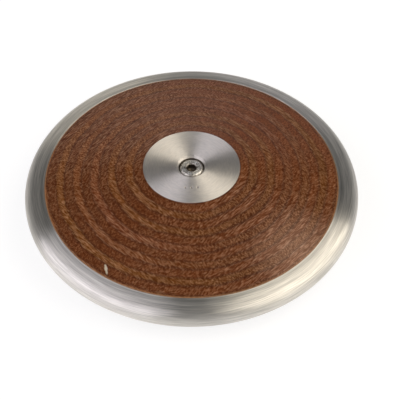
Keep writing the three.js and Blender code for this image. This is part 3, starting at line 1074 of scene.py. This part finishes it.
def add_camera(studio, middle):
    """Put the camera at its elevation and distance, then pan, tilt and roll it about its own axes."""
    away = Vector((0, -math.cos(studio.elevation), math.sin(studio.elevation)))
    turn = Matrix.Rotation(math.pi / 2 - studio.elevation, 4, "X")
    for angle_turned, axis in ((studio.pan, "Y"), (studio.tilt, "X"), (-studio.roll, "Z")):
        turn @= Matrix.Rotation(angle_turned, 4, axis)
    data = bpy.data.cameras.new("photograph_camera")
    data.lens = studio.focal_length
    camera = bpy.data.objects.new("photograph_camera", data)
    bpy.context.scene.collection.objects.link(camera)
    camera.matrix_world = Matrix.Translation(middle + away * studio.distance) @ turn
    bpy.context.scene.camera = camera


def add_softbox(name, lamp_colour, softbox, middle):
    """Hang a rectangular lamp that faces the discus and spreads evenly to either side of its direction."""
    azimuth, elevation, half_width, half_height, roll = map(math.radians, softbox[1:])
    level = math.cos(elevation)
    towards = Vector((level * math.cos(azimuth), level * math.sin(azimuth), math.sin(elevation)))
    along = Vector((-math.sin(azimuth), math.cos(azimuth), 0))
    data = bpy.data.lights.new(name, "AREA")
    data.shape = "RECTANGLE"
    data.size = 2 * LAMP_DISTANCE * math.tan(half_width)
    data.size_y = 2 * LAMP_DISTANCE * math.tan(half_height)
    data.energy = softbox.radiance * math.pi * data.size * data.size_y
    data.color = lamp_colour
    lamp = bpy.data.objects.new(name, data)
    lamp.visible_camera = False
    bpy.context.scene.collection.objects.link(lamp)
    turn = Matrix((along, towards.cross(along), towards)).transposed() @ Matrix.Rotation(roll, 3, "Z")
    lamp.matrix_world = Matrix.Translation(middle + towards * LAMP_DISTANCE) @ turn.to_4x4()


def add_floor(studio):
    """Lay a pale matt card: the eye and the metal see it white, with a light shadow under the discus."""
    shape = bmesh.new()
    bmesh.ops.create_grid(shape, x_segments=1, y_segments=1, size=FLOOR_HALF)
    floor = make_object("pale_floor", shape)
    material, add = new_material("white_floor_card")
    looked_at = 0
    for ray in ("Is Camera Ray", "Is Glossy Ray", "Is Transmission Ray"):
        looked_at = add("Math", [looked_at, add("LightPath", output=ray)], "MAXIMUM")
    plain = add("BsdfDiffuse", {"Color": studio.floor})
    faint = add("BsdfDiffuse", {"Color": studio.floor_seen})
    glow = add("Emission", {"Color": WHITE, "Strength": FLOOR_GLOW})
    bright = add("AddShader", [faint, glow])
    add("OutputMaterial", {"Surface": add("MixShader", [looked_at, plain, bright])})
    floor.data.materials.append(material)


def light_room(room):
    """Fill the room: pale low down, dimmer overhead and dimmest high at the back."""
    world = bpy.data.worlds.new("studio_room")
    world.use_nodes = True
    world.node_tree.nodes.clear()
    add = partial(add_node, world.node_tree)
    direction = add("TexCoord", output="Generated")
    backwards = add("SeparateXYZ", [direction], output="Y")
    upwards = add("SeparateXYZ", [direction], output="Z")
    start, end, front, back = OVERHEAD_LIGHT
    overhead = add("MapRange", [backwards, start, end, front * room, back * room])
    low = add("MapRange", [backwards, *LOW_LIGHT])
    strength = add("MapRange", [upwards, *OVERHEAD_STARTS, low, overhead])
    add("OutputWorld", {"Surface": add("Background", {"Color": WHITE, "Strength": strength})})
    bpy.context.scene.world = world


class DISCUS_OT_stage(bpy.types.Operator):
    """Set up the camera, floor, lamps and room"""

    bl_idname = "discus.stage"
    bl_label = "Stage"

    def execute(self, context):
        studio = context.scene.discus_studio
        middle = Vector((0, 0, context.scene.discus_sizes.half_thickness))
        add_camera(studio, middle)
        add_softbox("warm_softbox", studio.warm_lamp, WARM_SOFTBOX, middle)
        add_softbox("cool_softbox", studio.cool_lamp, COOL_SOFTBOX, middle)
        add_floor(studio)
        light_room(studio.room)
        context.scene.view_settings.view_transform = "Standard"
        return {"FINISHED"}


STEPS = (
    DISCUS_OT_stage,
    DISCUS_OT_rim,
    DISCUS_OT_wooden_sides,
    DISCUS_OT_centre_plates,
    DISCUS_OT_screw_and_sleeve,
    DISCUS_OT_ballast_washers,
    DISCUS_OT_lock_pins,
)


class DISCUS_PT_discus(bpy.types.Panel):
    """List the steps that build the discus"""

    bl_idname = "DISCUS_PT_discus"
    bl_label = "Throwing Discus"
    bl_space_type = "VIEW_3D"
    bl_region_type = "UI"
    bl_category = "Discus"

    def draw(self, context):
        for step in STEPS:
            self.layout.operator(step.bl_idname)


GROUPS = {"discus_sizes": DiscusSizes, "discus_finish": DiscusFinish, "discus_studio": DiscusStudio}
CLASSES = (*GROUPS.values(), *STEPS, DISCUS_PT_discus)


def register():
    """Register every class and give the scene its three groups of properties."""
    for item in CLASSES:
        bpy.utils.register_class(item)
    for name, group in GROUPS.items():
        setattr(bpy.types.Scene, name, PointerProperty(type=group))


def unregister():
    """Undo what register does, in the opposite order."""
    for name in reversed(GROUPS):
        delattr(bpy.types.Scene, name)
    for item in reversed(CLASSES):
        bpy.utils.unregister_class(item)


def main():
    """Build everything in order."""
    register()
    bpy.ops.discus.stage()
    bpy.ops.discus.rim()
    bpy.ops.discus.wooden_sides()
    bpy.ops.discus.centre_plates()
    bpy.ops.discus.screw_and_sleeve()
    bpy.ops.discus.ballast_washers()
    bpy.ops.discus.lock_pins()


if __name__ == "__main__":
    main()
